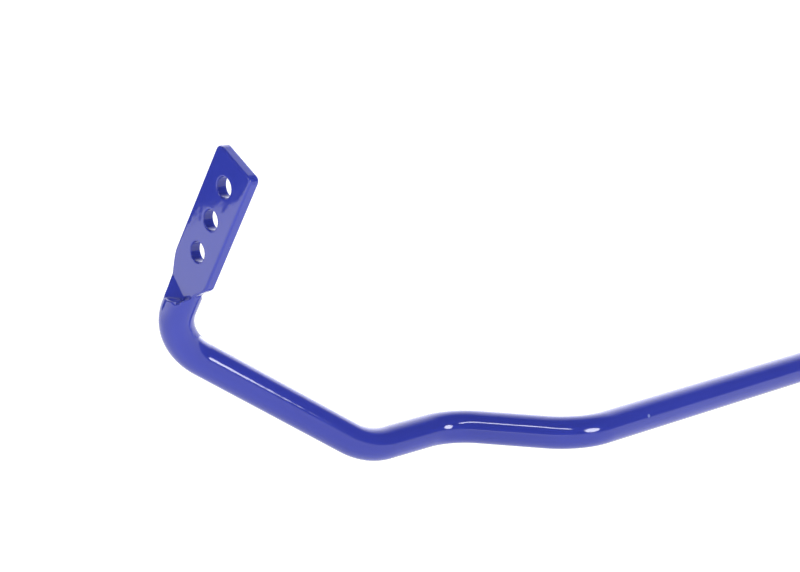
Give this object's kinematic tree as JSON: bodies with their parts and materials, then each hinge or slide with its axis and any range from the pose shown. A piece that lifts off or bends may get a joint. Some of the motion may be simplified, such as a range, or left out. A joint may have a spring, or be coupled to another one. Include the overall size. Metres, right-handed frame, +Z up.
{
  "type": "sway bar",
  "caption": "Round steel anti-roll bar with cranked arms and flat forged ends with link holes, turning in split bushes under saddle brackets.",
  "frame": {"origin": "middle of the four bracket bolt holes, in the plane that the brackets bolt down on", "axes": "+X along the centre straight and the roll axis, +Y towards the arms, +Z up out of the mounting plane. The end seen in the picture is the one at -X."},
  "size_m": [1.267, 0.176, 0.2352],
  "materials": {
    "powder_coat": "gloss blue powder coat",
    "polyurethane": "satin moulded polyurethane",
    "zinc_plate": "zinc-plated pressed steel",
    "collar_alloy": "turned and anodised",
    "screw_steel": "black oxide"
  },
  "bodies": {
    "mounting": {"bracket_left": "zinc_plate", "bracket_right": "zinc_plate", "bush_left": "polyurethane", "bush_right": "polyurethane"},
    "bar": {"sway_bar": "powder_coat", "collar_left_upper": "collar_alloy", "collar_left_lower": "collar_alloy", "collar_right_upper": "collar_alloy", "collar_right_lower": "collar_alloy", "collar_screws": "screw_steel"}
  },
  "joints": [
    {"name": "bar_roll", "type": "hinge", "parent": "mounting", "child": "bar", "pos_m": [0, 0, 0.022], "axis": [1, 0, 0], "range_deg": [-25, 25]}
  ]
}
